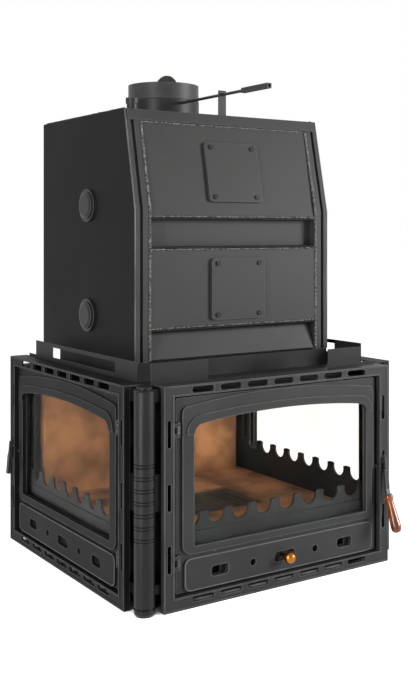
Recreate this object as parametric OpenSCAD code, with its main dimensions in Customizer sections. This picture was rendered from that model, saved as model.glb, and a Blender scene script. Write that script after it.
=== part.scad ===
// Fireplace insert: a firebox behind three glazed cast doors, with a boiler hood and a flue collar on top.
// The front is toward -Y, the floor is z = 0 and x = 0 is the plane of symmetry of the body.

/* [Cast frames] */
// Width of each cast frame
frame_w = 680; // [660:5:700]
// Height of each cast frame
frame_h = 515; // [510:1:520]
// Thickness of the frame's face
frame_face = 8; // [6:0.5:9]
// Height of the raised rims round the frame's face
rim_raise = 1.5; // [1:0.5:2]
// Depth of the rim round the frame's edge
rim_deep = 16; // [12:1:20]
// Thickness of the rim and of the top flange
rim_t = 4; // [3:0.5:4]
// Distance from the frame's face back to the steel body
frame_deep = 50; // [46:1:56]
// Width of the frame beside the door recess
border_side = 28; // [27:0.5:30]
// Height of the frame below the door recess
border_low = 30; // [29:0.5:32]
// Height of the frame above the door recess
border_top = 25; // [24:0.5:26]
// Wall of the throat behind the recess
throat_t = 4; // [3:0.5:4]
// Depth at which the seat for the door rope starts
seat_deep = 30; // [29:1:34]
// Width of the seat for the door rope
seat_w = 29; // [26:1:30]
// Number of air slots along the top and the bottom
slot_n = 7; // [3:1:8]
// Spacing of the air slots
slot_pitch = 78; // [70:1:82]

/* [Doors] */
// Gap between a door leaf and the recess at its sides
leaf_gap = 9; // [8:0.5:10]
// Gap between a door leaf and the recess at top and bottom
leaf_gap_z = 5; // [4:0.5:8]
// Depth of the door leaf's face behind the frame's face
leaf_deep = 12; // [10:0.5:12]
// Thickness of the door leaf
leaf_t = 7; // [6.5:0.5:7.5]
// Height of the raised bands on the leaf
band_h = 5; // [3:0.5:6]
// Height of the arched brow above the bands
brow_h = 3; // [2:0.5:4]
// Shift of the window toward the handle
win_shift = 8; // [0:1:10]
// Width of the leaf beside the window, the mean of both sides
win_side = 40; // [39:0.5:60]
// Height of the leaf below the window
win_under = 104; // [98:1:115]
// Height of the leaf above the window's crown
win_over = 49; // [46:1:65]
// Radius of the window's arch
win_arch_r = 2000; // [1600:50:3000]
// Thickness of the glass
glass_t = 4; // [4:0.5:5]
// Overlap of the glass on the leaf
glass_lap = 12; // [8:1:12]
// Spacing of the openings in the lower panel
vent_pitch = 95; // [85:1:98]
// Radius of the hinge pins
pin_r = 3.5; // [3:0.25:4]

/* [Handles] */
// Tilt of the levers away from the door
lever_tilt = 5; // [4:0.5:8]
// Tilt of the wood grip away from the door
grip_tilt = 21; // [16:0.5:24]
// Width of a lever outside the frame
lever_w = 13; // [11:1:14]
// Length of the front lever between its two bends
front_lever_l = 82; // [74:1:90]
// Length of a side lever below its bend
side_lever_l = 88; // [70:1:120]
// Length of the wood grip
grip_l = 95; // [85:1:98]
// Radius of the air knob
knob_r = 15; // [11:0.5:16]

/* [Body] */
// Reach of the steel body past the front frame on each side
body_past = 17; // [17:0.5:22]
// Distance from the middle of the insert to the front of the steel body
body_front = 324; // [322:1:326]
// Distance of the side frames' near edge behind the front of the steel body
side_set = 18; // [14:1:22]
// Reach of the side frames past the back of the steel body
side_past = 17; // [10:1:24]
// Height of the frames above the top plate's upper surface
frame_over = 17; // [16:1:19]
// Thickness of the body's plates
plate_t = 4; // [3:0.5:5]
// Height of the firebox floor
hearth_h = 118; // [112:1:122]
// Height of the log guards above the hearth
guard_h = 90; // [78:1:100]
// Height of the upstand sheets above the top plate
upstand_up = 64; // [58:1:72]

/* [Hood] */
// Width of the boiler hood
hood_w = 606; // [580:2:640]
// Distance from the middle to the front of the hood
hood_front = 168; // [160:1:180]
// Distance from the middle to the back of the hood
hood_back = 382; // [370:1:400]
// Height of the smoke neck between the firebox and the hood
neck_up = 46; // [42:1:56]
// Height of the hood
hood_h = 631; // [620:1:660]
// Height above the hood's lower edge at which its front starts to lean back
lean_from = 377; // [370:1:400]
// Distance that the hood's front leans back
lean = 55; // [40:1:70]
// Depth of the two bands pressed into the hood's front
band_deep = 23; // [12:1:26]
// Thickness of the hood's sheets
sheet_t = 5; // [4:0.5:6]
// Radius of the side sockets' rings
socket_r = 43.5; // [38:0.5:48]
// Radius of the water thread in the side sockets
socket_bore = 22.4; // [16:0.1:24]

/* [Flue] */
// Outer radius of the flue collar
collar_r = 103.5; // [98:0.5:110]
// Wall of the flue collar
collar_t = 3; // [2:0.5:4]
// Distance of the flue behind the middle
flue_y = 215; // [200:1:230]
// Height of the flue collar
collar_h = 115; // [100:1:140]
// Radius of the damper disc
disc_r = 90; // [80:1:92]
// Height of the damper's spindle above the hood
damper_up = 57; // [50:1:64]
// Radius of the damper's spindle
spindle_r = 4; // [3.5:0.25:5]

/* [Hidden] */
$fn = 48;
e = 0.5;
seat_gap = 0.3;
run_fit = 0.05;
body_w = frame_w + 2 * body_past;
body_back = frame_w + side_set - side_past - body_front;
body_h = frame_h - frame_over;
upstand_h = body_h + upstand_up;
hood_low = body_h + neck_up;
hood_top = hood_low + hood_h;
lean_z = hood_low + lean_from;
collar_top = hood_top + collar_h;
damper_z = hood_top + damper_up;
face_y = body_front + frame_deep;
face_x = body_w / 2 + frame_deep;
side_y0 = -body_front + side_set;
recess_l = border_side;
recess_r = frame_w - border_side;
recess_z0 = border_low;
recess_z1 = frame_h - border_top;
leaf_l = recess_l + leaf_gap;
leaf_r = recess_r - leaf_gap;
leaf_z0 = recess_z0 + leaf_gap_z;
leaf_z1 = recess_z1 - leaf_gap_z;
leaf_back = leaf_deep + leaf_t;
win_w = leaf_r - leaf_l - 2 * win_side;
win_low = leaf_z0 + win_under;
win_crown = leaf_z1 - win_over;
mid = frame_w / 2;
slot_z_top = frame_h - rim_t - 9;
slot_z_low = border_low - throat_t - 6.5;
side_slot_p = 15;
side_slots = [[88, 152], [230, 292], [frame_h - 141, frame_h - 78]];
handle_slot = side_slots[1];
hinge_z = [recess_z0 + 78, recess_z1 - 78];
hinge_p = leaf_l + 4;
hinge_in = leaf_deep - 3;
knuckle_r = pin_r + 2.5;
knuckle_h = 15.4;
ear_h = 8;
ear_reach = knuckle_h / 2 + seat_gap + ear_h;
pivot_in = 20;
pivot_z = (handle_slot[0] + handle_slot[1]) / 2 - 11;
bend_z = handle_slot[1] - 17;
shaft_r = 4;
lever_p = frame_w - side_slot_p;
rope_in = leaf_l + 4;
rope_w = 12;
glass_in = leaf_back + 2;
vent_z = leaf_z0 + 37;
vent_c = mid + 6;
slide_t = 3;
slide_gap = 0.3;
slide_low = vent_z - 13;
slide_high = vent_z + 16;
neck = [hood_w - 6, hood_front + 275];
neck_y0 = -hood_front;
socket_z = [hood_low + 101, hood_low + 392];
socket_y = 90;
cover = [165, 158, 8];
cover_low_z = hood_low + 174.5;
cover_high_z = lean_z + 101;
column_at = [-face_x + 30, -face_y + 25];

module at_front() {
    translate([-mid, -face_y, 0]) children();
}
module at_right() {
    translate([face_x, side_y0, 0]) rotate([0, 0, 90]) children();
}
module at_left() {
    mirror([1, 0, 0]) at_right() children();
}
// A box between two opposite corners
module block(a, b) {
    translate(a) cube(b - a);
}
// A rounded bar standing in the x z plane, drawn through y from y0 over a depth
module through(x, z, w, h, r, y0, deep) {
    translate([0, y0 + deep, 0]) rotate([90, 0, 0]) linear_extrude(deep)
        rounded(x - w / 2, z - h / 2, w, h, r);
}
module rounded(x, z, w, h, r) {
    translate([x + r, z]) square([w - 2 * r, h]);
    translate([x, z + r]) square([w, h - 2 * r]);
    for (i = [r, w - r]) {
        for (k = [r, h - r]) {
            translate([x + i, z + k]) circle(r);
        }
    }
}
// A panel under a flat arch, with one radius for its lower corners and one for the ends of its arch
module arched(x0, x1, z0, crown, r, arch_r, end_r) {
    half = (x1 - x0) / 2;
    end_z = crown - arch_r + sqrt((arch_r - end_r) ^ 2 - (half - end_r) ^ 2);
    cut = end_r * (1 - (half - end_r) / (arch_r - end_r));
    intersection() {
        translate([x0 + cut, z0 + r]) square([2 * half - 2 * cut, crown - z0]);
        translate([x0 + half, crown - arch_r]) circle(arch_r, $fn = 400);
    }
    for (x = [x0 + end_r, x1 - end_r]) {
        translate([x, end_z]) circle(end_r);
    }
    translate([x0, z0 + r]) square([2 * half, end_z - z0 - r]);
    translate([x0 + r, z0]) square([2 * half - 2 * r, 2 * r]);
    for (x = [x0 + r, x1 - r]) {
        translate([x, z0 + r]) circle(r);
    }
}
module stand(y0, deep) {
    translate([0, y0 + deep, 0]) rotate([90, 0, 0]) linear_extrude(deep) children();
}
module rod_x(x0, x1, y, z, r) {
    translate([x0, y, z]) rotate([0, 90, 0]) cylinder(h = x1 - x0, r = r);
}
module rod_y(y0, y1, x, z, r) {
    translate([x, y0, z]) rotate([-90, 0, 0]) cylinder(h = y1 - y0, r = r);
}

bolt_r = 3;
bolt_fit = 0.1;
bolt_z = [recess_z0 + 40, recess_z1 - 45];
bolt_p = [recess_l + 9, recess_r - 9];
lug_t = 6;
post_leg = 72;
post_back = side_y0 + recess_r - seat_w + 3;
win_x0 = mid + win_shift - win_w / 2;
win_x1 = mid + win_shift + win_w / 2;
clip_p = [win_x0 + 60, mid, win_x1 - 60];
clip_t = 2.7;
screw_r = 2;
vent_h = 24;
latch_z = [handle_slot[0] - 79, handle_slot[1] - 40];
neck_w = 7;
arm_t = 8;
arm_out = 5;
narrow_l = 33;
ferrule_l = 4;
ferrule_s = 14;
tang_r = 4;
tang_end = 10;

module cast_frame() {
    color([0.17, 0.17, 0.17]) difference() {
        union() {
            stand(rim_raise, frame_face - rim_raise) difference() {
                square([frame_w, frame_h]);
                translate([recess_l, recess_z0]) square([recess_r - recess_l, recess_z1 - recess_z0]);
            }
            stand(0, rim_deep) difference() {
                square([frame_w, frame_h]);
                translate([rim_t, rim_t]) square([frame_w - 2 * rim_t, frame_h - 2 * rim_t]);
            }
            stand(0, frame_deep) throat_ring(throat_t, 0);
            stand(seat_deep, lug_t) throat_ring(throat_t, seat_w);
            block([0, 0, frame_h - rim_t], [frame_w, frame_deep, frame_h]);
            for (z = hinge_z) {
                ear(z + knuckle_h / 2 + seat_gap);
                ear(z - knuckle_h / 2 - seat_gap - ear_h);
            }
            for (z = bolt_z) {
                block([recess_l - e, frame_deep - lug_t, z - 9], [recess_l + 18, frame_deep, z + 9]);
                block([recess_r - 18, frame_deep - lug_t, z - 9], [recess_r + e, frame_deep, z + 9]);
            }
            block([frame_w - rim_t - 5, frame_face - e, pivot_z - 10],
                [frame_w - rim_t + e, pivot_in + 9, pivot_z + 10]);
        }
        for (i = [0 : slot_n - 1]) {
            at = mid + (i - (slot_n - 1) / 2) * slot_pitch;
            through(at, slot_z_top, 61, 15, 7, -1, frame_face + 2);
            through(at, slot_z_low, 62, 13, 6, -1, frame_face + 2);
        }
        for (s = side_slots) {
            for (p = [side_slot_p, lever_p]) {
                through(p, (s[0] + s[1]) / 2, 11, s[1] - s[0], 5, -1, frame_face + 2);
            }
        }
        for (z = hinge_z) {
            translate([hinge_p, hinge_in, z - 30]) cylinder(h = 60, r = pin_r + run_fit);
        }
        for (z = bolt_z) {
            for (p = bolt_p) {
                rod_y(frame_deep - lug_t - 1, frame_deep + 1, p, z, bolt_r + bolt_fit);
            }
        }
        rod_x(recess_r - 1, frame_w - rim_t + 1, pivot_in, pivot_z, shaft_r + run_fit);
    }
}
// The wall behind the recess, reaching over it by a lip
module throat_ring(wall, lip) {
    difference() {
        translate([recess_l - wall, recess_z0 - wall])
            square([recess_r - recess_l + 2 * wall, recess_z1 - recess_z0 + 2 * wall]);
        translate([recess_l + lip, recess_z0 + lip])
            square([recess_r - recess_l - 2 * lip, recess_z1 - recess_z0 - 2 * lip]);
    }
}
module ear(z) {
    block([recess_l - e, hinge_in - knuckle_r, z], [hinge_p, hinge_in + knuckle_r, z + ear_h]);
    translate([hinge_p, hinge_in, z]) cylinder(h = ear_h, r = knuckle_r);
}
module frame_pins() {
    for (z = hinge_z) {
        translate([hinge_p, hinge_in, z - ear_reach - 1]) cylinder(h = 2 * ear_reach + 1, r = pin_r);
        translate([hinge_p, hinge_in, z + ear_reach]) cylinder(h = 2, r = pin_r + 1);
    }
}
module frame_fixings() {
    for (z = bolt_z) {
        for (p = bolt_p) {
            rod_y(frame_deep - lug_t - e, frame_deep + 8, p, z, bolt_r);
            translate([p, frame_deep - lug_t, z]) rotate([90, 0, 0]) cylinder(h = 5, r = 6, $fn = 6);
        }
    }
}

module vents(w) {
    through(vent_c - 2 * vent_pitch, vent_z, w, vent_h, 8, 0, 30);
    through(vent_c + 2 * vent_pitch, vent_z, w, vent_h, 8, 0, 30);
    through(vent_c, vent_z, 62, vent_h, 8, 0, 30);
}
module door_leaf() {
    outer = [leaf_l + 16, leaf_r - 8];
    color([0.16, 0.16, 0.16]) difference() {
        union() {
            stand(leaf_deep, leaf_t) rounded(leaf_l, leaf_z0, leaf_r - leaf_l, leaf_z1 - leaf_z0, 5);
            stand(leaf_deep - band_h, band_h + e) difference() {
                arched(outer[0], outer[1], win_low - 18, leaf_z1 - 1, 26, win_arch_r - 50, 16);
                translate([leaf_r - 13, latch_z[0]]) square([10, latch_z[1] - latch_z[0]]);
            }
            stand(leaf_deep - band_h - brow_h, band_h + brow_h + e) intersection() {
                arched(win_x0 - 20, win_x1 + 19, win_low, win_crown + 19, 8, win_arch_r + 400, 42);
                translate([0, win_crown - 38]) square([frame_w, 100]);
            }
            stand(leaf_deep - band_h, band_h + e)
                rounded(leaf_l + 22, leaf_z0 + 1, leaf_r - leaf_l - 35, 76, 16);
            for (z = hinge_z) {
                translate([hinge_p, hinge_in, z - knuckle_h / 2]) cylinder(h = knuckle_h, r = knuckle_r);
            }
            slide_rail(slide_low - slide_gap, -1);
            slide_rail(slide_high + slide_gap, 1);
        }
        stand(0, leaf_back + 1) arched(win_x0, win_x1, win_low, win_crown, 5, win_arch_r, 23);
        vents(48);
        for (i = [-1, 1]) {
            rod_y(0, leaf_back + 1, vent_c + i * vent_pitch, vent_z, 8.5);
        }
        for (z = hinge_z) {
            translate([hinge_p, hinge_in, z - 30]) cylinder(h = 60, r = pin_r + run_fit);
            ear_notch(z + knuckle_h / 2, ear_h + 3);
            ear_notch(z - ear_reach - 1 + seat_gap, ear_h + 1);
        }
        for (p = clip_p) {
            rod_y(leaf_back - 5, leaf_back + 1, p, glass_z1() + 9, screw_r + bolt_fit);
            rod_y(leaf_back - 5, leaf_back + 1, p, glass_z0() - 9, screw_r + bolt_fit);
        }
    }
}
function glass_z0() = win_low - glass_lap;
function glass_z1() = win_crown + glass_lap;
module ear_notch(z, h) {
    block([leaf_l - 1, -1, z], [hinge_p + 9, leaf_back + 1, z + h]);
}
module slide_rail(z, side) {
    deep = slide_t + 2 * slide_gap;
    z_out = z + side * 4;
    z_lip = z - side * 3;
    block([mid - 240, leaf_back - e, min(z, z_out)], [mid + 240, leaf_back + deep, max(z, z_out)]);
    block([mid - 240, leaf_back + deep - e / 10, min(z_lip, z_out)],
        [mid + 240, leaf_back + deep + 2, max(z_lip, z_out)]);
}
module door_glass() {
    color([0.35, 0.27, 0.2, 0.5])
        block([win_x0 - glass_lap, glass_in, glass_z0()],
            [win_x1 + glass_lap, glass_in + glass_t, glass_z1()]);
}
module glass_seal() {
    color([0.75, 0.72, 0.65]) stand(leaf_back, glass_in - leaf_back) difference() {
        translate([win_x0 - 11, win_low - 11]) square([win_w + 22, win_crown - win_low + 22]);
        translate([win_x0 - 1, win_low - 1]) square([win_w + 2, win_crown - win_low + 2]);
    }
}
module door_rope() {
    z0 = leaf_z0 + 4;
    w = leaf_r - leaf_l - 8;
    h = leaf_z1 - leaf_z0 - 8;
    color([0.2, 0.2, 0.2]) stand(leaf_back, seat_deep - leaf_back - seat_gap) difference() {
        rounded(rope_in, z0, w, h, 16);
        rounded(rope_in + rope_w, z0 + rope_w, w - 2 * rope_w, h - 2 * rope_w, 6);
    }
}
// Clips that hold the glass, each with its screw
module glass_clips() {
    color([0.55, 0.55, 0.55]) for (p = clip_p) {
        glass_clip(p, glass_z1(), 1);
        glass_clip(p, glass_z0(), -1);
    }
}
module glass_clip(p, z, side) {
    y0 = glass_in + glass_t + seat_gap;
    foot = [z + side * 0.5, z + side * 18];
    tongue = [z - side * 8, z + side * 18];
    difference() {
        union() {
            block([p - 12, leaf_back, min(foot)], [p + 12, y0 + clip_t, max(foot)]);
            block([p - 12, y0, min(tongue)], [p + 12, y0 + clip_t, max(tongue)]);
        }
        rod_y(leaf_back - 1, y0 + clip_t + 1, p, z + side * 9, screw_r + bolt_fit);
    }
    rod_y(leaf_back - 4, y0 + clip_t + e, p, z + side * 9, screw_r);
    rod_y(y0 + clip_t, y0 + clip_t + 1.7, p, z + side * 9, 2 * screw_r);
}
module vent_plate() {
    block([mid - 230, leaf_back + slide_gap, slide_low],
        [mid + 230, leaf_back + slide_gap + slide_t, slide_high]);
}
// Glass clips and the fixed plate behind the lower panel of a side door
module side_fittings() {
    glass_clips();
    color([0.5, 0.5, 0.5]) vent_plate();
}
module slide_plate() {
    color([0.5, 0.5, 0.5]) difference() {
        vent_plate();
        for (i = [-1, 1]) {
            through(vent_c + i * 2 * vent_pitch - 8, vent_z, 26, 20, 6, leaf_back, 10);
            through(vent_c + i * vent_pitch - 8, vent_z, 30, 15, 7, leaf_back, 10);
        }
    }
}
module slide_knob() {
    at = vent_c - 1;
    y1 = -knob_r + e;
    color([0.8, 0.6, 0.28]) union() {
        rod_y(y1, leaf_back + slide_gap, at, vent_z, 4);
        rod_y(-2, 4, at, vent_z, 6.5);
        translate([at, y1, vent_z]) sphere(knob_r);
    }
}

module along_arm() {
    translate([lever_p, -arm_out, bend_z]) rotate([-lever_tilt, 0, 0]) children();
}
module lever(length) {
    rise = bend_z - pivot_z;
    reach = pivot_in + arm_out;
    color([0.45, 0.45, 0.45]) union() {
        rod_x(lever_p - neck_w / 2 - 1, lever_p + neck_w / 2 + 1, pivot_in, pivot_z, 9);
        rod_x(recess_r - 4, frame_w - rim_t - 1, pivot_in, pivot_z, shaft_r);
        rod_x(recess_r - 5, recess_r - 1, pivot_in, pivot_z, 6);
        block([recess_r - 4.5, leaf_deep - 2, pivot_z - 3], [recess_r - 1.5, pivot_in, pivot_z + 3]);
        translate([lever_p - neck_w / 2, pivot_in, pivot_z]) rotate([atan2(reach, rise), 0, 0])
            translate([0, -arm_t / 2, 0]) cube([neck_w, arm_t, norm([rise, reach]) + 3]);
        along_arm() translate([-neck_w / 2 + 0.3, -arm_t / 2 + 0.3, -narrow_l - 2])
            cube([neck_w - 0.6, arm_t - 0.6, narrow_l + 2]);
        along_arm() translate([-lever_w / 2, -arm_t / 2, -length]) cube([lever_w, arm_t, length - narrow_l]);
    }
}
module along_grip() {
    along_arm() translate([0, 0, -front_lever_l]) rotate([lever_tilt - grip_tilt, 0, 0]) children();
}
module grip_lever() {
    lever(front_lever_l);
    color([0.5, 0.5, 0.5]) along_grip() {
        translate([-lever_w / 2 + 0.3, -arm_t / 2 + 0.3, -ferrule_s - 1])
            cube([lever_w - 0.6, arm_t - 0.6, ferrule_s + 3]);
        translate([0, 0, -ferrule_s - ferrule_l]) cylinder(h = ferrule_l, r = 10.5);
        translate([0, 0, -ferrule_s - ferrule_l - grip_l + tang_end])
            cylinder(h = grip_l - tang_end + ferrule_l / 2, r = tang_r);
    }
}
module wood_grip() {
    color([0.62, 0.3, 0.12]) along_grip() translate([0, 0, -ferrule_s - ferrule_l]) rotate_extrude() polygon([
        [tang_r + run_fit, 0], [11.5, 0], [12.6, -1.5], [12.8, -4.5], [11.6, -7.5], [9.8, -10], [9.4, -14],
        [10.2, -28], [11.8, -0.52 * grip_l], [13.4, 25 - grip_l], [13.8, 17 - grip_l], [13, 9 - grip_l],
        [10.5, 4 - grip_l], [6, 0.9 - grip_l], [0, -grip_l], [0, tang_end - 1 - grip_l],
        [tang_r + run_fit, tang_end - 1 - grip_l]]);
}

hw = body_w / 2;
bf = body_front;
bb = body_back;
floor_t = 6;
under_top = body_h - plate_t;
brick_t = 25;
hearth_z = hearth_h - brick_t;
grate_w = 300;
grate_l = 200;
grate_y = 20;
flange_low = recess_z0 + 15;
flange_top = recess_z1 - 22;
baffle_z = body_h - 58;
baffle_y = -60;
pan = [330, 300];
pan_wall = 2;
tack_gap = 0.1;
bar = [12, 20.8];
tooth_pitch = 70;
guard_t = 6;
rail_up = 46;
guard_in = seat_deep + lug_t + 1;
guard_end = recess_l + 22;
crown_z = hood_top - sheet_t;
chamber = [hood_w - 106, -hood_front + 63, flue_y + 120];
sheet_up = 2;
left_return = [mid - 150, mid + 6];
right_return = [mid - 162, mid - 53, mid - 5];
strip_end = bb - 47;
ledge = hw - neck[0] / 2;
strip_foot = 0.35 * ledge;
strip_lip = 24;
strip_cut = [111, 112, 27, 10];
left_strip_at = [0, 46];
right_strip_at = [0.21 * ledge, 62];
hearth_edge = 20;
inner_x = hood_w / 2 - sheet_t;
band_x = hood_w / 2 - 44;
groove_x = [hood_w / 2 - 24, hood_w / 2 - 13];
bands = [[0, 78], [lean_from - 97, lean_from - 19]];
band_top = hood_low + bands[1][1];
lean_a = atan(lean / (hood_top - band_top));
top_sheet_y = -hood_front + lean + 6;
low_sheet_y = -hood_front + 13;
cover_screw = [65, 66];
cover_screw_r = 3;
nipple_at = [28 - inner_x, top_sheet_y + 15];
post_y = -96;
sleeve_y = [-311, -195];
strap_y = 50;
disc_t = 3;
socket_in = 35;
socket_out = 6;
cap_r = 36;
lip_h = 28;
lip_out = 3;
pipe_stop = 70;

module floor_plate() {
    color([0.2, 0.2, 0.2]) union() {
        block([-hw, -bf, 0], [hw, bb, floor_t]);
        block([-hw + post_leg, -bf, 0], [hw - post_leg, -bf + plate_t, flange_low]);
        for (x = [-hw, hw - plate_t]) {
            block([x, -bf + post_leg, 0], [x + plate_t, post_back, flange_low]);
        }
    }
}
module rear_wall() {
    color([0.2, 0.2, 0.2]) block([-hw + plate_t, bb - plate_t, floor_t], [hw - plate_t, bb, under_top]);
}
module post(sx, y0, y1) {
    front = y0 < 0;
    inner = front ? plate_t : 0;
    x0 = hw - post_leg;
    if (front) {
        block([min(sx * x0, sx * hw), y0, floor_t], [max(sx * x0, sx * hw), y0 + plate_t, under_top]);
    }
    block([min(sx * hw, sx * (hw - plate_t)), y0 + inner - (front ? e : 0), floor_t],
        [max(sx * hw, sx * (hw - plate_t)), y1, under_top]);
}
module corner_posts() {
    color([0.2, 0.2, 0.2]) difference() {
        union() {
            for (sx = [-1, 1]) {
                post(sx, -bf, -bf + post_leg);
                post(sx, post_back, bb);
            }
        }
        for (z = bolt_z) {
            for (p = bolt_p) {
                at_front() rod_y(frame_deep - 1, frame_deep + 20, p, z, bolt_r + bolt_fit);
                at_left() rod_y(frame_deep - 1, frame_deep + 20, p, z, bolt_r + bolt_fit);
                at_right() rod_y(frame_deep - 1, frame_deep + 20, p, z, bolt_r + bolt_fit);
            }
        }
    }
}
module top_plate() {
    color([0.16, 0.16, 0.16]) difference() {
        union() {
            block([-hw, -bf, under_top], [hw, bb, body_h]);
            block([-hw + post_leg, -bf, flange_top], [hw - post_leg, -bf + plate_t, body_h]);
            for (x = [-hw, hw - plate_t]) {
                block([x, -bf + post_leg, flange_top], [x + plate_t, post_back, body_h]);
            }
        }
        block([-neck[0] / 2 + plate_t, neck_y0 + plate_t, 0],
            [neck[0] / 2 - plate_t, neck_y0 + neck[1] - plate_t, body_h + 1]);
    }
}
module hearth_plate() {
    color([0.25, 0.25, 0.25]) difference() {
        union() {
            block([-hw + hearth_edge, -bf + hearth_edge, hearth_z - 6],
                [hw - hearth_edge, bb - plate_t - 1, hearth_z]);
            for (x = [-pan[0] / 2 - 35, pan[0] / 2 + 29]) {
                block([x, -bf + 70, floor_t], [x + 6, bb - 50, hearth_z]);
            }
        }
        block([-grate_w / 2 + 10, grate_y - grate_l / 2 + 10, 0],
            [grate_w / 2 - 10, grate_y + grate_l / 2 - 10, hearth_z + 1]);
    }
}
module floor_bricks() {
    color([0.72, 0.62, 0.48]) {
        for (sx = [-1, 1]) {
            x = [sx * (grate_w / 2 + 2), sx * (hw - 24)];
            block([min(x), -bf + 22, hearth_z], [max(x), -1, hearth_h]);
            block([min(x), 1, hearth_z], [max(x), bb - 40, hearth_h]);
        }
        block([-grate_w / 2, -bf + 22, hearth_z], [grate_w / 2, grate_y - grate_l / 2 - 2, hearth_h]);
        block([-grate_w / 2, grate_y + grate_l / 2 + 2, hearth_z], [grate_w / 2, bb - 40, hearth_h]);
    }
}
module back_bricks() {
    w = (body_w - 60) / 3;
    color([0.72, 0.62, 0.48]) for (i = [-1, 0, 1]) {
        block([i * w - w / 2 + 1, bb - 38, hearth_z], [i * w + w / 2 - 1, bb - plate_t - seat_gap, baffle_z]);
    }
}
module grate() {
    color([0.22, 0.2, 0.19]) difference() {
        block([-grate_w / 2, grate_y - grate_l / 2, hearth_z],
            [grate_w / 2, grate_y + grate_l / 2, hearth_h - 4]);
        for (i = [-6 : 6]) {
            block([i * bar[1] - bar[0] / 2, grate_y - grate_l / 2 + 20, 0],
                [i * bar[1] + bar[0] / 2, grate_y + grate_l / 2 - 20, hearth_h]);
        }
    }
}
// An ash pan of five plates, tacked together along their edges
module ash_pan() {
    x = pan[0] / 2;
    y = [grate_y - pan[1] / 2, grate_y + pan[1] / 2];
    top = hearth_z - 12;
    side_y = [y[0] + pan_wall + tack_gap, y[1] - pan_wall - tack_gap];
    low = floor_t + pan_wall + tack_gap;
    color([0.35, 0.35, 0.35]) {
        block([-x, y[0], floor_t], [x, y[1], floor_t + pan_wall]);
        block([-x, y[0], low], [x, y[0] + pan_wall, top]);
        block([-x, y[1] - pan_wall, low], [x, y[1], top]);
        block([-x, side_y[0], low], [pan_wall - x, side_y[1], top]);
        block([x - pan_wall, side_y[0], low], [x, side_y[1], top]);
    }
}
module baffle_plate() {
    color([0.25, 0.22, 0.2]) union() {
        block([-neck[0] / 2, baffle_y, baffle_z], [neck[0] / 2, bb - plate_t - 1, baffle_z + plate_t + 2]);
        for (x = [-neck[0] / 2 + 1, neck[0] / 2 - 7]) {
            block([x, baffle_y, baffle_z], [x + 6, baffle_y + 40, under_top]);
        }
    }
}
module guard() {
    top = hearth_h + guard_h;
    color([0.14, 0.14, 0.14]) block([recess_l + seat_w + 1, guard_in - 3, recess_z0 + seat_w + 3],
        [recess_r - seat_w - 1, guard_in + 1, hearth_h + rail_up]);
    color([0.14, 0.14, 0.14]) stand(guard_in, guard_t) difference() {
        intersection() {
            union() {
                translate([guard_end, recess_z0]) square([frame_w - 2 * guard_end, top - 20 - recess_z0]);
                for (i = [-4 : 4]) {
                    rounded(mid + i * tooth_pitch - 18, hearth_h, 36, guard_h, 14);
                }
            }
            translate([guard_end, recess_z0]) square([frame_w - 2 * guard_end, top]);
        }
        for (i = [-4 : 3]) {
            translate([mid + (i + 0.5) * tooth_pitch, top - 9]) circle(tooth_pitch / 2 - 12);
        }
    }
}
module corner_column() {
    r = 24.25;
    color([0.22, 0.22, 0.23]) union() {
        translate([column_at[0], column_at[1], 0]) rotate_extrude() polygon(concat(
            [[0, 0], [r - 4, 0], [r, 6], [r, 14], [r - 3, 17], [r, 20]],
            [for (k = [0 : 6]) each [for (g = [[0, -5], [-1.8, -3.5], [0, -2], [0, 2], [-1.8, 3.5], [0, 5]])
                [r + g[0], 172 + k * 27.8 + g[1]]]],
            [[r, frame_h - 9], [r - 3, frame_h - 6], [17, frame_h - 6], [17, frame_h - 4], [19, frame_h - 3],
                [19, frame_h], [16, frame_h + 2], [0, frame_h + 2]]));
        for (z = [[43, 65], [231, 316], [480, frame_h - rim_t - 2]]) {
            block([column_at[0], -face_y + rim_deep + seat_gap, z[0]],
                [-mid + 8, -face_y + rim_deep + 6, z[1]]);
            block([-face_x + rim_deep + seat_gap, column_at[1], z[0]],
                [-face_x + rim_deep + 6, side_y0 + 8, z[1]]);
        }
    }
}
module front_upstands() {
    color([0.14, 0.14, 0.14]) {
        block([-left_return[1], -bf, body_h], [-left_return[0], -bf + sheet_up, upstand_h]);
        block([-left_return[1], -bf, body_h], [-left_return[0], -bf + 20, body_h + sheet_up]);
        block([right_return[0], -bf, body_h], [right_return[1], -bf + sheet_up, upstand_h]);
        block([right_return[0], -bf, body_h], [right_return[2], -bf + sheet_up, body_h + strip_lip]);
        block([right_return[0], -bf, body_h], [right_return[2], -bf + 20, body_h + sheet_up]);
    }
}
// A strip along one side, with its face at x and its near end at y
module side_upstand(x, y) {
    color([0.14, 0.14, 0.14]) difference() {
        union() {
            block([x, y, body_h], [x + sheet_up, strip_end, upstand_h]);
            block([x, y, body_h], [x + sheet_up, bb, body_h + strip_lip]);
            block([x, y, body_h], [x + strip_foot, bb, body_h + sheet_up]);
        }
        block([x - 1, y + strip_cut[0], body_h + strip_cut[2]],
            [x + sheet_up + 1, strip_end - strip_cut[1], upstand_h - strip_cut[3]]);
    }
}
module smoke_neck() {
    color([0.15, 0.15, 0.15]) difference() {
        block([-neck[0] / 2, neck_y0, body_h], [neck[0] / 2, neck_y0 + neck[1], hood_low]);
        block([-neck[0] / 2 + plate_t, neck_y0 + plate_t, 0],
            [neck[0] / 2 - plate_t, neck_y0 + neck[1] - plate_t, hood_low + 1]);
    }
}

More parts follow.
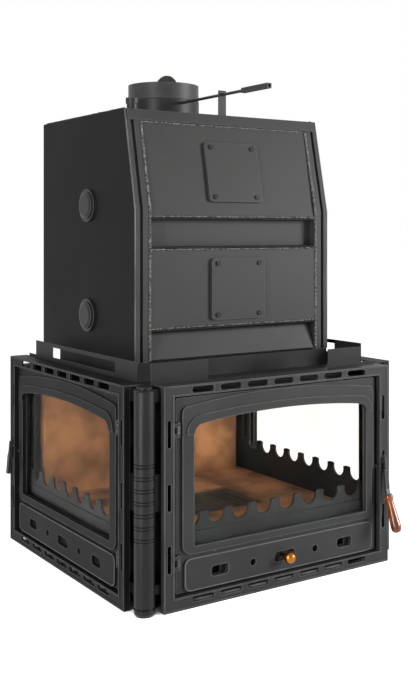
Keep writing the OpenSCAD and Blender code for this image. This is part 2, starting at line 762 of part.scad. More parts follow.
// The hood's front outline as points in y and z, moved inward by a distance
function lean_y(z) = -hood_front + lean * max(0, z - lean_z) / (hood_top - lean_z);
function flat_front(o) = [[-hood_front + o, hood_low], [-hood_front + o, lean_z],
    [-hood_front + lean + o, hood_top]];
function banded_front(o) = [[-hood_front + o, hood_low],
    [-hood_front + band_deep + o, hood_low + bands[0][1] + o], [-hood_front + o, hood_low + bands[0][1] + o],
    [-hood_front + o, hood_low + bands[1][0] - o], [-hood_front + band_deep + o, hood_low + bands[1][0] - o],
    [-hood_front + band_deep + o, hood_low + bands[1][1] + o], [-hood_front + o, hood_low + bands[1][1] + o],
    [-hood_front + lean + o, hood_top]];
function backward(list) = [for (i = [len(list) - 1 : -1 : 0]) list[i]];
module along_x(x0, x1) {
    translate([x0, 0, 0]) rotate([90, 0, 90]) linear_extrude(x1 - x0) children();
}
module both_sides() {
    children();
    mirror([1, 0, 0]) children();
}
module boiler_shell() {
    color([0.3, 0.3, 0.3]) difference() {
        union() {
            along_x(-band_x - e, band_x + e)
                polygon(concat(banded_front(0), backward(banded_front(sheet_t))));
            both_sides() {
                along_x(band_x, groove_x[0])
                    polygon(concat(flat_front(0), backward(flat_front(sheet_t + 3))));
                along_x(groove_x[0] - e, groove_x[1] + e)
                    polygon(concat(flat_front(6), backward(flat_front(12))));
                along_x(groove_x[1], inner_x)
                    polygon(concat(flat_front(0), backward(flat_front(sheet_t + 3))));
                for (b = bands) {
                    block([band_x, -hood_front + 2, hood_low + b[0] + (b[0] > 0 ? -sheet_t : 0)],
                        [band_x + sheet_t, -hood_front + band_deep + sheet_t + 1,
                            hood_low + b[1] + sheet_t + 1]);
                }
            }
            along_x(-inner_x + 1, inner_x - 1)
                polygon([[lean_y(hood_top - lip_h) - lip_out, hood_top - lip_h],
                [lean_y(hood_top - lip_h) + 3, hood_top - lip_h], [lean_y(hood_top - 1) + 3, hood_top - 1],
                [lean_y(hood_top - 1) - lip_out, hood_top - 1]]);
        }
        at_covers() cover_holes();
        block([-inner_x - 1, top_sheet_y, hood_top - sheet_t], [inner_x + 1, 0, hood_top + 1]);
        block([-inner_x - 1, low_sheet_y, hood_low - 1], [inner_x + 1, 0, hood_low + sheet_t]);
    }
}
module at_covers() {
    translate([0, -hood_front, cover_low_z]) children();
    translate([0, -hood_front, band_top]) rotate([-lean_a, 0, 0])
        translate([0, 0, cover_high_z - band_top]) children();
}
module cover_holes() {
    for (x = [-1, 1]) {
        for (z = [-1, 1]) {
            rod_y(-20, 20, x * cover_screw[0], z * cover_screw[1], cover_screw_r + bolt_fit);
        }
    }
}
module cover_plates() {
    color([0.2, 0.2, 0.2]) at_covers() difference() {
        through(0, 0, cover[0], cover[1], 9, -cover[2], cover[2]);
        cover_holes();
    }
}
module cover_screws() {
    color([0.5, 0.5, 0.5]) at_covers() {
        for (x = [-1, 1]) {
            for (z = [-1, 1]) {
                rod_y(-cover[2] - 3, -cover[2], x * cover_screw[0], z * cover_screw[1], 6);
                rod_y(-cover[2] - e, sheet_t - 1, x * cover_screw[0], z * cover_screw[1], cover_screw_r);
            }
        }
    }
}
module smoke_chamber() {
    x = chamber[0] / 2;
    color([0.25, 0.22, 0.2]) difference() {
        union() {
            block([-inner_x, low_sheet_y, hood_low], [inner_x, hood_back - sheet_t, hood_low + sheet_t]);
            block([-x, chamber[1], hood_low], [x, chamber[2], crown_z]);
        }
        block([-x + sheet_t, chamber[1] + sheet_t, hood_low + sheet_t],
            [x - sheet_t, chamber[2] - sheet_t, crown_z - sheet_t]);
        block([-x + sheet_t, chamber[1] + sheet_t, 0],
            [x - sheet_t, neck_y0 + neck[1] - plate_t, hood_low + 10]);
        translate([0, flue_y, hood_low + 50]) cylinder(h = hood_h, r = collar_r - collar_t);
    }
}
module hood_side() {
    color([0.16, 0.16, 0.16]) difference() {
        along_x(-hood_w / 2, -inner_x) polygon([[-hood_front, hood_low], [hood_back, hood_low],
            [hood_back, hood_top], [-hood_front + lean, hood_top], [-hood_front, lean_z]]);
        for (z = socket_z) {
            rod_x(-hood_w / 2 - 1, -inner_x + 1, socket_y, z, socket_bore + 6 + seat_gap);
        }
    }
}
module top_sheet() {
    color([0.16, 0.16, 0.16]) difference() {
        block([-inner_x, top_sheet_y, hood_top - sheet_t], [inner_x, hood_back - sheet_t, hood_top]);
        translate([0, flue_y, 0]) cylinder(h = 2 * hood_top, r = collar_r - collar_t);
        translate([nipple_at[0], nipple_at[1], 0]) cylinder(h = 2 * hood_top, r = 10 + seat_gap);
    }
}
module rear_sheet() {
    color([0.16, 0.16, 0.16]) block([-inner_x, hood_back - sheet_t, hood_low],
        [inner_x, hood_back, hood_top]);
}
module side_sockets() {
    color([0.4, 0.4, 0.4]) both_sides() for (z = socket_z) {
        difference() {
            union() {
                rod_x(-hood_w / 2 - socket_out, -hood_w / 2, socket_y, z, socket_r);
                rod_x(-hood_w / 2 - 1, -hood_w / 2 + socket_in, socket_y, z, socket_bore + 6);
            }
            rod_x(-hood_w, -hood_w / 2 + socket_in + 1, socket_y, z, socket_bore);
        }
    }
}
module socket_caps() {
    face = -hood_w / 2 - socket_out;
    color([0.3, 0.3, 0.3]) for (z = socket_z) {
        rod_x(face - 4, face, socket_y, z, cap_r);
        translate([face - 4, socket_y, z]) rotate([0, -90, 0])
            cylinder(h = 3, r1 = cap_r - 1, r2 = cap_r - 9);
        rod_x(face - 1, face + 18, socket_y, z, socket_bore - run_fit);
    }
}
module vent_nipple() {
    color([0.25, 0.25, 0.25]) translate([nipple_at[0], nipple_at[1], hood_top]) {
        translate([0, 0, -12]) cylinder(h = 14, r = 10);
        cylinder(h = 15, r = 13.5);
        translate([0, 0, 15]) cylinder(h = 14, r = 16);
    }
}
module flue_collar() {
    color([0.17, 0.17, 0.17]) translate([0, flue_y, 0]) difference() {
        rotate_extrude() polygon([[collar_r - collar_t, hood_top], [collar_r, hood_top],
            [collar_r, hood_top + pipe_stop - 2], [collar_r - 1, hood_top + pipe_stop],
            [collar_r - 1, collar_top], [collar_r - collar_t, collar_top]]);
        rod_y(-collar_r - 1, collar_r + 1, 0, damper_z, spindle_r + run_fit);
    }
}
module guide_post() {
    color([0.3, 0.3, 0.3]) difference() {
        union() {
            block([-11.5, post_y - 2, hood_top], [11.5, post_y + 2, damper_z + 11]);
            block([-11.5, post_y - 2, hood_top], [11.5, post_y + 16, hood_top + 3]);
        }
        rod_y(post_y - 5, post_y + 5, 0, damper_z, spindle_r + run_fit);
    }
}
module damper_disc() {
    color([0.3, 0.3, 0.3]) difference() {
        union() {
            rod_x(spindle_r, spindle_r + disc_t, flue_y, damper_z, disc_r);
            for (s = [-1, 1]) {
                block([-spindle_r - 3, flue_y + s * strap_y - 12, damper_z - 9],
                    [spindle_r + e, flue_y + s * strap_y + 12, damper_z + 9]);
            }
        }
        rod_y(flue_y - strap_y - 20, flue_y - strap_y + 20, 0, damper_z, spindle_r + run_fit);
        rod_y(flue_y + strap_y - 20, flue_y + strap_y + 20, 0, damper_z, spindle_r + run_fit);
    }
}
module damper_spindle() {
    color([0.45, 0.45, 0.45]) rod_y(sleeve_y[0] + 15, flue_y + collar_r + 5, 0, damper_z, spindle_r);
}
module damper_sleeve() {
    color([0.3, 0.3, 0.3]) difference() {
        block([-spindle_r - 2.5, sleeve_y[0], damper_z - spindle_r - 2.5],
            [spindle_r + 2.5, sleeve_y[1], damper_z + spindle_r + 2.5]);
        rod_y(sleeve_y[0] - 1, sleeve_y[1] + 1, 0, damper_z, spindle_r + run_fit);
    }
}
module all_frames() {
    at_front() children();
    at_left() children();
    at_right() children();
}

floor_plate();
rear_wall();
corner_posts();
top_plate();
hearth_plate();
floor_bricks();
back_bricks();
grate();
ash_pan();
baffle_plate();
at_front() guard();  // front_log_guard
at_left() guard();  // left_log_guard
at_right() guard();  // right_log_guard
at_front() cast_frame();  // front_frame
at_left() cast_frame();  // left_frame
at_right() cast_frame();  // right_frame
color([0.5, 0.5, 0.5]) all_frames() frame_fixings();  // frame_bolts
corner_column();
front_upstands();
side_upstand(-hw + left_strip_at[0], -bf + left_strip_at[1]);  // left_upstand
mirror([1, 0, 0]) side_upstand(-hw + right_strip_at[0], -bf + right_strip_at[1]);  // right_upstand
smoke_neck();
boiler_shell();
smoke_chamber();
hood_side();  // left_side_sheet
mirror([1, 0, 0]) hood_side();  // right_side_sheet
top_sheet();
rear_sheet();
cover_plates();
cover_screws();
side_sockets();
socket_caps();
vent_nipple();
flue_collar();
guide_post();
color([0.5, 0.5, 0.5]) all_frames() frame_pins();  // hinge_pins
damper_disc();
damper_spindle();
damper_sleeve();
at_front() door_leaf();  // front_door_leaf
at_front() door_glass();  // front_door_glass
at_front() glass_seal();  // front_glass_seal
at_front() door_rope();  // front_door_rope
at_front() glass_clips();  // front_door_clips
at_left() door_leaf();  // left_door_leaf
at_left() door_glass();  // left_door_glass
at_left() glass_seal();  // left_glass_seal
at_left() door_rope();  // left_door_rope
at_left() side_fittings();  // left_door_clips
at_right() door_leaf();  // right_door_leaf
at_right() door_glass();  // right_door_glass
at_right() glass_seal();  // right_glass_seal
at_right() door_rope();  // right_door_rope
at_right() side_fittings();  // right_door_clips
at_front() slide_plate();  // air_slide
at_front() slide_knob();  // air_knob
at_front() grip_lever();  // front_lever
at_front() wood_grip();  // front_grip
at_left() lever(side_lever_l);  // left_lever
at_right() lever(side_lever_l);  // right_lever
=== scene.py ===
import math
import bpy
from mathutils import Matrix, Vector


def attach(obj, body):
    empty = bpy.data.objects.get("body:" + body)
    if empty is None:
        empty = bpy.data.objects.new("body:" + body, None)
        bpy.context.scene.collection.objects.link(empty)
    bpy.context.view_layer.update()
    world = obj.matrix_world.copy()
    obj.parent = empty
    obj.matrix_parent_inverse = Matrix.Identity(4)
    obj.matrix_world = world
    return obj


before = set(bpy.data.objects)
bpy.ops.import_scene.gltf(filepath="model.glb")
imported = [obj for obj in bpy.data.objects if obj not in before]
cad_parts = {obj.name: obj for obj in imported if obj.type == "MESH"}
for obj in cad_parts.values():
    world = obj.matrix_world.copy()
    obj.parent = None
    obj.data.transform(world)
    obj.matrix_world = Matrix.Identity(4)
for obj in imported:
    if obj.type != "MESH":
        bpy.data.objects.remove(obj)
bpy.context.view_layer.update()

# Cast frames, door leaves and log guards
# Grey iron castings under satin black stove paint. Each is cast in sand, so its skin keeps a fine grain. The edges
# are painted lighter, partly as wear and partly as a painted highlight. The side castings are painted darker as
# painted shade.


def new_material(name):
    mat = bpy.data.materials.new(name)
    mat.use_nodes = True
    return mat, mat.node_tree.nodes, mat.node_tree.links, mat.node_tree.nodes["Principled BSDF"]


def noise(nodes, links, place, size, detail=3.0, stretch=(1, 1, 1)):
    mapping = nodes.new("ShaderNodeMapping")
    mapping.inputs["Scale"].default_value = [s / size for s in stretch]
    links.new(place.outputs["Object"], mapping.inputs["Vector"])
    tex = nodes.new("ShaderNodeTexNoise")
    tex.inputs["Scale"].default_value = 1.0
    tex.inputs["Detail"].default_value = detail
    links.new(mapping.outputs["Vector"], tex.inputs["Vector"])
    return tex.outputs["Fac"]


def spread(nodes, links, value, low, high, to_low, to_high):
    remap = nodes.new("ShaderNodeMapRange")
    remap.inputs["From Min"].default_value = low
    remap.inputs["From Max"].default_value = high
    remap.inputs["To Min"].default_value = to_low
    remap.inputs["To Max"].default_value = to_high
    links.new(value, remap.inputs["Value"])
    return remap.outputs["Result"]


def ramp(nodes, links, value, *stops):
    band = nodes.new("ShaderNodeValToRGB")
    while len(band.color_ramp.elements) < len(stops):
        band.color_ramp.elements.new(0.5)
    for element, (at, colour) in zip(band.color_ramp.elements, stops):
        element.position = at
        element.color = (*colour, 1)
    links.new(value, band.inputs["Fac"])
    return band.outputs["Color"]


def rounded_normal(nodes, links, radius, *bumps):
    edge = nodes.new("ShaderNodeBevel")
    edge.samples = 4
    edge.inputs["Radius"].default_value = radius
    normal = edge.outputs["Normal"]
    for height, depth in bumps:
        bump = nodes.new("ShaderNodeBump")
        bump.inputs["Distance"].default_value = depth
        bump.inputs["Strength"].default_value = 1.0
        links.new(height, bump.inputs["Height"])
        links.new(normal, bump.inputs["Normal"])
        normal = bump.outputs["Normal"]
    return normal


def worn_and_highlit_edges(nodes, links, place, colour, wear_and_highlight, reach):
    # Edges are painted lighter through an inside occlusion mask: partly wear of the paint, partly a painted
    # highlight.
    ao_on_faces, ao_at_edges = 0.9, 0.45
    patch_size, patch_low, patch_high, least_wear = 0.05, 0.3, 0.5, 0.45
    inside = nodes.new("ShaderNodeAmbientOcclusion")
    inside.samples = 8
    inside.inside = True
    inside.only_local = True
    inside.inputs["Distance"].default_value = reach
    mix = nodes.new("ShaderNodeMix")
    mix.data_type = "RGBA"
    mix.inputs["B"].default_value = (*wear_and_highlight, 1)
    links.new(colour, mix.inputs["A"])
    wear_and_highlight_mask = nodes.new("ShaderNodeMath")
    wear_and_highlight_mask.operation = "MULTIPLY"
    near_edge = spread(nodes, links, inside.outputs["AO"], ao_on_faces, ao_at_edges, 0, 1)
    links.new(near_edge, wear_and_highlight_mask.inputs[0])
    patches = noise(nodes, links, place, patch_size)
    links.new(spread(nodes, links, patches, patch_low, patch_high, least_wear, 1), wear_and_highlight_mask.inputs[1])
    links.new(wear_and_highlight_mask.outputs[0], mix.inputs["Factor"])
    return mix.outputs["Result"]


def stove_paint(name, dark, light, rough, grain, grain_deep, edge=0.0012, gloss=0.16, wear_and_highlight=None, metallic=0.0):
    cloud_size, smoother, rougher = 0.16, 0.05, 0.07
    mat, nodes, links, shader = new_material(name)
    place = nodes.new("ShaderNodeTexCoord")
    cloud = noise(nodes, links, place, cloud_size, 4.0)
    skin = noise(nodes, links, place, grain, 2.0)
    colour = ramp(nodes, links, cloud, (0.35, dark), (0.65, light))
    if wear_and_highlight:
        colour = worn_and_highlit_edges(nodes, links, place, colour, wear_and_highlight, 1.5 * edge)
    links.new(colour, shader.inputs["Base Color"])
    roughness = spread(nodes, links, cloud, 0.3, 0.7, rough - smoother, rough + rougher)
    links.new(roughness, shader.inputs["Roughness"])
    links.new(rounded_normal(nodes, links, edge, (skin, grain_deep)), shader.inputs["Normal"])
    shader.inputs["Specular IOR Level"].default_value = gloss
    shader.inputs["Metallic"].default_value = metallic
    return mat


def finish_nodes(mat, *names):
    for name in names:
        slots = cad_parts[name].data.materials
        slots.clear()
        slots.append(mat)


cast_paint = stove_paint("stove_paint_on_cast_iron", dark=(0.026, 0.026, 0.0265), light=(0.034, 0.034, 0.035),
                         rough=0.44, grain=0.0035, grain_deep=0.00014, edge=0.0016, gloss=0.14,
                         wear_and_highlight=(0.16, 0.16, 0.163))
leaf_paint = stove_paint("stove_paint_on_doors", dark=(0.028, 0.028, 0.0285), light=(0.036, 0.036, 0.037),
                         rough=0.44, grain=0.0035, grain_deep=0.00014, edge=0.0022, gloss=0.14,
                         wear_and_highlight=(0.13, 0.13, 0.133))
guard_paint = stove_paint("heat_blued_paint_on_guards", dark=(0.022, 0.025, 0.027), light=(0.034, 0.039, 0.042),
                          rough=0.55, grain=0.003, grain_deep=0.0002, edge=0.002, gloss=0.14)
# The side castings share the front's paint; this darker copy is painted shade on faces turned from the lamp.
shaded_side_casting_paint = stove_paint("painted_shade_on_side_castings", dark=(0.008, 0.008, 0.0083),
                         light=(0.0125, 0.0125, 0.0128), rough=0.5, grain=0.0035, grain_deep=0.00014,
                         edge=0.002, gloss=0.08, wear_and_highlight=(0.1, 0.1, 0.102))
finish_nodes(cast_paint, "front_frame", "hinge_pins")
finish_nodes(leaf_paint, "front_door_leaf")
finish_nodes(shaded_side_casting_paint, "left_frame", "right_frame", "left_door_leaf", "right_door_leaf")
finish_nodes(guard_paint, "front_log_guard", "left_log_guard", "right_log_guard")

# Firebox of steel plate
# Floor, corner posts, rear wall, top plate, smoke neck and the folded upstands, cut from sheet, welded and painted
# black. Rolled sheet is smoother than the castings.
sheet_paint = stove_paint("stove_paint_on_sheet", dark=(0.016, 0.0155, 0.015), light=(0.024, 0.0235, 0.023),
                          rough=0.45, grain=0.02, grain_deep=0.0001, edge=0.0012, gloss=0.12,
                          wear_and_highlight=(0.06, 0.06, 0.06))
finish_nodes(sheet_paint, "floor_plate", "rear_wall", "corner_posts", "top_plate", "front_upstands",
             "left_upstand", "right_upstand", "smoke_neck")

# Corner column
# A hollow cast column on the front left corner, turned with double grooves, under a darker and glossier coat that
# leaves the coarse grain of the casting in sight.
column_paint = stove_paint("stove_paint_on_column", dark=(0.003, 0.0032, 0.0036), light=(0.006, 0.0065, 0.0075),
                           rough=0.34, grain=0.0025, grain_deep=0.0006, edge=0.0012, gloss=0.24)
finish_nodes(column_paint, "corner_column")

# Hearth, grate, ash pan and baffle
# Bare castings and plate inside the fire and the flue, dull with heat and dusted with ash.
fire_iron = stove_paint("burnt_iron", dark=(0.05, 0.045, 0.04), light=(0.12, 0.11, 0.1), rough=0.8, grain=0.006,
                        grain_deep=0.0004)
finish_nodes(fire_iron, "hearth_plate", "grate", "ash_pan", "baffle_plate", "damper_disc")

# Fire bricks
# Pressed chamotte tiles round the grate and against the rear wall, sandy and smoked darker in patches.
soot_size, pore_size, pore_deep, brick_edge = 0.12, 0.004, 0.0006, 0.003
smoked, fired_clay = (0.15, 0.068, 0.028), (0.56, 0.27, 0.11)
brick, nodes, links, shader = new_material("chamotte")
place = nodes.new("ShaderNodeTexCoord")
soot = noise(nodes, links, place, soot_size, 6.0)
pores = noise(nodes, links, place, pore_size, 3.0)
links.new(ramp(nodes, links, soot, (0.35, smoked), (0.6, fired_clay)), shader.inputs["Base Color"])
links.new(rounded_normal(nodes, links, brick_edge, (pores, pore_deep)), shader.inputs["Normal"])
shader.inputs["Roughness"].default_value = 0.95
finish_nodes(brick, "floor_bricks", "back_bricks")

# Boiler hood
# Plate welded along every edge. The folded front with its two pressed bands is painted dark grey, and the side, top
# and rear sheets are painted much darker, as painted shade where the lamps light them less.
hood_paint = stove_paint("heat_paint_on_hood_front", dark=(0.031, 0.031, 0.0305), light=(0.039, 0.039, 0.038),
                         rough=0.5, grain=0.03, grain_deep=0.00008, edge=0.0012, gloss=0.16,
                         wear_and_highlight=(0.12, 0.12, 0.12))
# Same coat as the front, painted darker as shade; the low weld and the top welds also take this painted shade.
shaded_hood_side_paint = stove_paint("painted_shade_on_hood_sides", dark=(0.005, 0.005, 0.0054), light=(0.009, 0.009, 0.0095),
                         rough=0.5, grain=0.03, grain_deep=0.00008, edge=0.0012, gloss=0.06,
                         wear_and_highlight=(0.08, 0.08, 0.08))
finish_nodes(hood_paint, "boiler_shell", "guide_post", "damper_sleeve", "cover_plates")
finish_nodes(shaded_hood_side_paint, "left_side_sheet", "right_side_sheet", "top_sheet", "rear_sheet", "smoke_chamber")

# Collar, sockets and vent on the hood
# A rolled flue collar, turned water sockets with their caps and a small vent, in a smoother black paint that is
# painted grey on its edges, partly as wear and partly as a painted highlight.
tube_paint = stove_paint("heat_paint_on_tubes", dark=(0.012, 0.0115, 0.011), light=(0.022, 0.021, 0.0205),
                         rough=0.42, grain=0.012, grain_deep=0.0001, edge=0.0016, gloss=0.22,
                         wear_and_highlight=(0.09, 0.09, 0.09))
finish_nodes(tube_paint, "side_sockets", "socket_caps", "vent_nipple", "flue_collar")

# Steel fittings
# Zinc-plated frame bolts, blackened clips, slide and cover screws, and forged levers with a dull drawn surface.
zinc = stove_paint("zinc_plate", dark=(0.35, 0.35, 0.36), light=(0.5, 0.5, 0.51), rough=0.35, grain=0.004,
                   grain_deep=0.00005, metallic=1.0)
forged = stove_paint("forged_steel", dark=(0.018, 0.018, 0.0185), light=(0.034, 0.034, 0.035), rough=0.42,
                     grain=0.006, grain_deep=0.0001, edge=0.0016, gloss=0.25, wear_and_highlight=(0.12, 0.12, 0.12))
blackened = stove_paint("blackened_steel", dark=(0.006, 0.006, 0.006), light=(0.014, 0.014, 0.014), rough=0.5,
                        grain=0.003, grain_deep=0.0001)
finish_nodes(zinc, "frame_bolts")
finish_nodes(forged, "front_lever", "left_lever", "right_lever", "damper_spindle")
finish_nodes(blackened, "cover_screws", "air_slide", "front_door_clips", "left_door_clips", "right_door_clips")

# Air knob
# A turned and polished brass ball on its stem, the only bright metal piece of the front.
brass = stove_paint("polished_brass", dark=(0.16, 0.038, 0.005), light=(0.4, 0.15, 0.025), rough=0.24,
                    grain=0.005, grain_deep=0.0001, metallic=1.0)
finish_nodes(brass, "air_knob")

# Wood grip
# Turned beech, stained red-brown along the grain and lacquered to a gloss.
grain_size, flame_size = 0.004, 0.03
along_grain, along_flame = (1, 1, 0.12), (1, 1, 0.3)
late_wood, stained_wood, early_wood = (0.05, 0.009, 0.001), (0.17, 0.032, 0.003), (0.36, 0.09, 0.009)
wood, nodes, links, shader = new_material("lacquered_beech")
place = nodes.new("ShaderNodeTexCoord")
grain = noise(nodes, links, place, grain_size, 5.0, along_grain)
flame = noise(nodes, links, place, flame_size, 3.0, along_flame)
mixed = nodes.new("ShaderNodeMath")
mixed.operation = "MULTIPLY_ADD"
mixed.inputs[1].default_value = 0.5
links.new(grain, mixed.inputs[0])
links.new(spread(nodes, links, flame, 0.2, 0.8, 0.0, 0.5), mixed.inputs[2])
links.new(ramp(nodes, links, mixed.outputs[0], (0.25, late_wood), (0.45, stained_wood), (0.7, early_wood)),
          shader.inputs["Base Color"])
shader.inputs["Roughness"].default_value = 0.2
shader.inputs["Specular IOR Level"].default_value = 0.3
shader.inputs["Coat Weight"].default_value = 0.4
shader.inputs["Coat Roughness"].default_value = 0.04
finish_nodes(wood, "front_grip")

# Glass and ropes
# Clear glass ceramic with the faint brown of its kind, held over a braided tape, and a grey braided door rope.
film_size, brown_tint, clear_tint = 0.2, (0.94, 0.9, 0.87), (0.98, 0.96, 0.94)
glass, nodes, links, shader = new_material("glass_ceramic")
place = nodes.new("ShaderNodeTexCoord")
film = noise(nodes, links, place, film_size, 3.0)
links.new(ramp(nodes, links, film, (0.3, brown_tint), (0.7, clear_tint)), shader.inputs["Base Color"])
shader.inputs["Roughness"].default_value = 0.0
shader.inputs["Transmission Weight"].default_value = 1.0
shader.inputs["IOR"].default_value = 1.05
finish_nodes(glass, "front_door_glass", "left_door_glass", "right_door_glass")
rope = stove_paint("braided_fibre", dark=(0.1, 0.1, 0.1), light=(0.22, 0.21, 0.2), rough=0.9, grain=0.003,
                   grain_deep=0.0008)
finish_nodes(rope, "front_glass_seal", "left_glass_seal", "right_glass_seal", "front_door_rope",
             "left_door_rope", "right_door_rope")

# Rounded rim of the lower door panel
# The raised panel under each window has a soft round rim along its edge, which catches the light. It is cast with
# the door leaf.
panel_left, panel_right, panel_low, panel_high = 0.0605, 0.6285, 0.0375, 0.1105
rim_depth, rim_corner, rim_radius = 0.0078, 0.015, 0.0016
front_casting_at, side_casting_at = (-0.34, -0.374, 0), (0.407, -0.306, 0)
side_turn = Matrix.Translation(side_casting_at) @ Matrix.Rotation(math.radians(90), 4, "Z")
places = {"front": Matrix.Translation(front_casting_at), "right": side_turn,
          "left": Matrix.Scale(-1, 4, (1, 0, 0)) @ side_turn}
on_door = {"front": "front_door", "left": "left_door", "right": "right_door"}


def deselect():
    if bpy.context.mode != "OBJECT":
        bpy.ops.object.mode_set(mode="OBJECT")
    bpy.ops.object.select_all(action="DESELECT")


def raised_line(name, left, right, low, high, depth, corner, thick):
    deselect()
    bpy.ops.mesh.primitive_plane_add(size=1, location=((left + right) / 2, depth, (low + high) / 2),
                                     rotation=(math.radians(90), 0, 0), scale=(1, 1, 1))
    line = bpy.context.object
    line.name = name
    line.scale = (right - left, high - low, 1)
    bpy.ops.object.transform_apply(location=True, rotation=True, scale=True)
    bpy.ops.object.mode_set(mode="EDIT")
    bpy.ops.mesh.select_all(action="SELECT")
    bpy.ops.mesh.bevel(affect="VERTICES", offset=corner, segments=5)
    bpy.ops.mesh.select_all(action="SELECT")
    bpy.ops.mesh.delete(type="ONLY_FACE")
    bpy.ops.object.mode_set(mode="OBJECT")
    bpy.ops.object.convert(target="CURVE")
    line = bpy.context.object
    line.data.bevel_depth = thick
    line.data.bevel_resolution = 1
    bpy.ops.object.convert(target="MESH")
    return bpy.context.object


def dress(piece, mat, body):
    piece.data.materials.clear()
    piece.data.materials.append(mat)
    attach(piece, body)


def copy_to_sides(pattern, mat, bodies):
    base_name = pattern.name
    for side, matrix in places.items():
        copy = pattern.copy()
        copy.data = pattern.data.copy()
        copy.name = side + "_" + base_name
        bpy.context.collection.objects.link(copy)
        copy.data.transform(matrix)
        if side == "left":
            copy.data.flip_normals()
        dress(copy, mat, bodies[side])
    bpy.data.objects.remove(pattern)


panel_rim = raised_line("panel_rim", panel_left, panel_right, panel_low, panel_high, rim_depth, rim_corner,
                        rim_radius)
copy_to_sides(panel_rim, leaf_paint, on_door)

# Weld beads on the hood
# Hand-laid fillet welds join the front's folded bands and panels to the side flanges. Each bead is a row of small
# overlapping ripples with bright tips painted on as highlights, and a dark line of painted shadow lies along the
# cross welds.
bead_pitch, bead_unevenness, bead_radius, fine_bead_radius, shadow_line_radius = 0.0058, 0.0012, 0.0036, 0.003, 0.004
flange_weld_x, cross_weld_x, top_weld_x, shadow_line_sunk = 0.2605, 0.257, 0.2965, 0.0005
hood_front_y, top_weld_front_y, top_weld_rear_y = -0.168, -0.1, 0.376
low_weld_z, upright_weld_z, leaning_weld_z, top_weld_z = 0.5455, 0.548, 1.145, 1.1755
flange_fold_z, band_top_z, hood_top_z, lean_back = 0.921, 0.902, 1.175, 0.055
glint_size, ripple_size, ripple_deep, ripple_edge = 0.0055, 0.003, 0.0003, 0.0008
covered_bead, painted_glint_on_bead = (0.01, 0.01, 0.01), (0.19, 0.185, 0.18)
weld_paint, nodes, links, shader = new_material("weld_paint_with_painted_glints")
place = nodes.new("ShaderNodeTexCoord")
# The light spots on the beads are painted highlights.
glint_spots = noise(nodes, links, place, glint_size, 2.0)
links.new(ramp(nodes, links, glint_spots, (0.42, covered_bead), (0.6, painted_glint_on_bead)), shader.inputs["Base Color"])
links.new(rounded_normal(nodes, links, ripple_edge, (noise(nodes, links, place, ripple_size), ripple_deep)),
          shader.inputs["Normal"])
shader.inputs["Roughness"].default_value = 0.35


def weld_line(name, start, end, seed, thick=bead_radius, paint=weld_paint):
    deselect()
    start, end = Vector(start), Vector(end)
    bpy.ops.mesh.primitive_uv_sphere_add(segments=8, ring_count=5, radius=thick, location=start)
    bead = bpy.context.object
    bead.name = name
    ripples = bead.modifiers.new("ripples", "ARRAY")
    ripples.count = int((end - start).length / bead_pitch)
    ripples.use_relative_offset = False
    ripples.use_constant_offset = True
    ripples.constant_offset_displace = (end - start) / ripples.count
    bpy.ops.object.modifier_apply(modifier=ripples.name)
    bpy.ops.object.transform_apply(location=True, rotation=True, scale=True)
    bpy.ops.object.mode_set(mode="EDIT")
    bpy.ops.mesh.select_all(action="SELECT")
    bpy.ops.transform.vertex_random(offset=bead_unevenness, seed=seed)
    bpy.ops.object.mode_set(mode="OBJECT")
    bpy.ops.object.shade_smooth()
    dress(bead, paint, "insert")


def hood_y(z, fold):
    return hood_front_y + lean_back * max(0, z - fold) / (hood_top_z - fold)


def cross_weld(name, y, z, thick, paint):
    weld_line(name, (-cross_weld_x, y, z), (cross_weld_x, y, z), int(z * 1000), thick, paint)


for side, x in (("left", -flange_weld_x), ("right", flange_weld_x)):
    weld_line(side + "_upright_weld", (x, hood_front_y, upright_weld_z), (x, hood_front_y, flange_fold_z), 3)
    weld_line(side + "_leaning_weld", (x, hood_y(flange_fold_z, flange_fold_z), flange_fold_z),
              (x, hood_y(leaning_weld_z, flange_fold_z), leaning_weld_z), 4)
cross_weld("low_weld", hood_front_y, low_weld_z, fine_bead_radius, shaded_hood_side_paint)
for name, z, shadow_line_z in (("low_band", 0.6245, 0.6200), ("panel", 0.8215, 0.8260), ("high_band", 0.9045, 0.9000),
                        ("lip", 1.1435, 1.1470)):
    cross_weld(name + "_weld", hood_y(z, band_top_z), z, fine_bead_radius, weld_paint)
    # A thin dark strip below each cross weld is painted shadow.
    cross_weld(name + "_weld_root", hood_y(shadow_line_z, band_top_z) + shadow_line_sunk, shadow_line_z, shadow_line_radius, blackened)
for side, x in (("left", -top_weld_x), ("right", top_weld_x)):
    weld_line(side + "_top_weld", (x, top_weld_front_y, top_weld_z), (x, top_weld_rear_y, top_weld_z), 9,
              fine_bead_radius, shaded_hood_side_paint)

# Rounded corners of the hood
# The side sheets are folded over the front edge, and the fold is painted light as one painted highlight line from
# the bottom of the hood to its top.
fold_x, fold_inset, fold_low_z, fold_top_z, fold_radius = 0.3013, 0.0015, 0.546, 1.1735, 0.0021
fold_highlight_paint = stove_paint("painted_highlight_on_folds", dark=(0.06, 0.063, 0.065), light=(0.16, 0.165, 0.17), rough=0.4,
                         grain=0.006, grain_deep=0.0001)


def fold_edge(name, start, end):
    deselect()
    start, end = Vector(start), Vector(end)
    bpy.ops.mesh.primitive_cylinder_add(vertices=12, radius=fold_radius, depth=(end - start).length,
                                        location=(start + end) / 2,
                                        rotation=(end - start).to_track_quat("Z", "Y").to_euler())
    fold = bpy.context.object
    fold.name = name
    bpy.ops.object.transform_apply(location=True, rotation=True, scale=True)
    rounding = fold.modifiers.new("rounding", "BEVEL")
    rounding.width = fold_radius * 0.4
    rounding.segments = 2
    bpy.ops.object.modifier_apply(modifier=rounding.name)
    bpy.ops.object.shade_smooth()
    dress(fold, fold_highlight_paint, "insert")


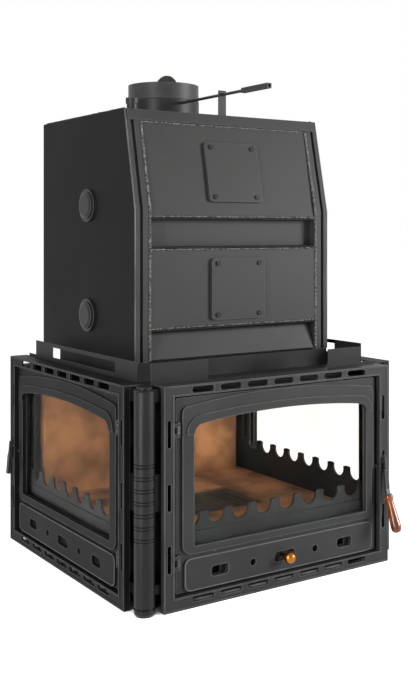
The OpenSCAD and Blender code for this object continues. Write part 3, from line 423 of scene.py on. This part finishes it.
for side, x in (("left", -fold_x), ("right", fold_x)):
    bend = (x, hood_front_y + fold_inset, flange_fold_z)
    fold_edge(side + "_upright_fold", (x, hood_front_y + fold_inset, fold_low_z), bend)
    fold_edge(side + "_leaning_fold", bend, (x, hood_y(fold_top_z, flange_fold_z) + fold_inset, fold_top_z))

# Floor, light and camera
# A plain white floor that the camera, gloss and glass see as white while the object's shadow stays on it; its glow
# is cut by an occlusion mask, which paints shade under and beside the object. One large soft lamp from the front
# right and a narrow upright one from the left.
floor_size, floor_z, floor_glow, world_fill, world_seen = 60, -0.0005, 0.9, 0.15, 1.0
painted_shade_reach, in_contact, in_the_open = 0.25, 0.12, 0.42
bpy.ops.mesh.primitive_plane_add(size=floor_size, location=(0, 0, floor_z))
floor = bpy.context.object
floor.name = "studio_floor"
floor_mat, nodes, links, shader = new_material("studio_floor")
shader.inputs["Base Color"].default_value = (0.8, 0.8, 0.8, 1)
shader.inputs["Roughness"].default_value = 1.0
shader.inputs["Specular IOR Level"].default_value = 0.0
shader.inputs["Emission Color"].default_value = (1, 1, 1, 1)
floor.data.materials.append(floor_mat)


def glow_cut_by_painted_shade(nodes, links):
    occlusion_probe = nodes.new("ShaderNodeAmbientOcclusion")
    occlusion_probe.samples = 16
    occlusion_probe.inputs["Distance"].default_value = painted_shade_reach
    return spread(nodes, links, occlusion_probe.outputs["AO"], in_contact, in_the_open, 0, 1)


def seen_directly(nodes, links, hidden, seen):
    path = nodes.new("ShaderNodeLightPath")
    either = path.outputs["Is Camera Ray"]
    for kind in ("Is Glossy Ray", "Is Transmission Ray"):
        most = nodes.new("ShaderNodeMath")
        most.operation = "MAXIMUM"
        links.new(either, most.inputs[0])
        links.new(path.outputs[kind], most.inputs[1])
        either = most.outputs[0]
    return spread(nodes, links, either, 0, 1, hidden, seen)


# The floor's glow is dimmed where the occlusion mask finds the object close: painted shade.
shaded_floor_glow = nodes.new("ShaderNodeMath")
shaded_floor_glow.operation = "MULTIPLY"
links.new(seen_directly(nodes, links, 0.0, floor_glow), shaded_floor_glow.inputs[0])
links.new(glow_cut_by_painted_shade(nodes, links), shaded_floor_glow.inputs[1])
links.new(shaded_floor_glow.outputs[0], shader.inputs["Emission Strength"])


def area_lamp(name, at, toward, size, power):
    bpy.ops.object.light_add(type="AREA", location=at)
    lamp = bpy.context.object
    lamp.name = name
    lamp.data.shape = "RECTANGLE"
    lamp.data.size, lamp.data.size_y = size
    lamp.data.energy = power
    lamp.rotation_euler = (Vector(toward) - Vector(at)).to_track_quat("-Z", "Y").to_euler()


area_lamp("key", at=(3.3, -3.2, 1.6), toward=(0, 0, 0.6), size=(1.5, 1.5), power=230)
area_lamp("side", at=(-3.0, -1.35, 0.9), toward=(-0.3, -0.3, 0.5), size=(0.32, 1.9), power=85)
world = bpy.data.worlds.new("studio")
world.use_nodes = True
nodes, links = world.node_tree.nodes, world.node_tree.links
nodes["Background"].inputs["Color"].default_value = (1, 1, 1, 1)
links.new(seen_directly(nodes, links, world_fill, world_seen), nodes["Background"].inputs["Strength"])
bpy.context.scene.world = world

camera_at, camera_turn, sensor_width = (-1.503, -2.374, 0.868), -34.255, 36
focal_px, frame_w_px, frame_h_px = 1021.1, 408, 700
middle_px, horizon_px = 237.0, 231.0
camera_data = bpy.data.cameras.new("photo_camera")
camera_data.sensor_width = sensor_width
camera_data.lens = focal_px / frame_h_px * sensor_width
camera_data.shift_x = -(middle_px - frame_w_px / 2) / frame_h_px
camera_data.shift_y = -(frame_h_px / 2 - horizon_px) / frame_h_px
camera = bpy.data.objects.new("photo_camera", camera_data)
camera.location = camera_at
camera.rotation_euler = (math.radians(90), 0, math.radians(camera_turn))
bpy.context.collection.objects.link(camera)
bpy.context.scene.camera = camera
bpy.context.scene.view_settings.view_transform = "Standard"
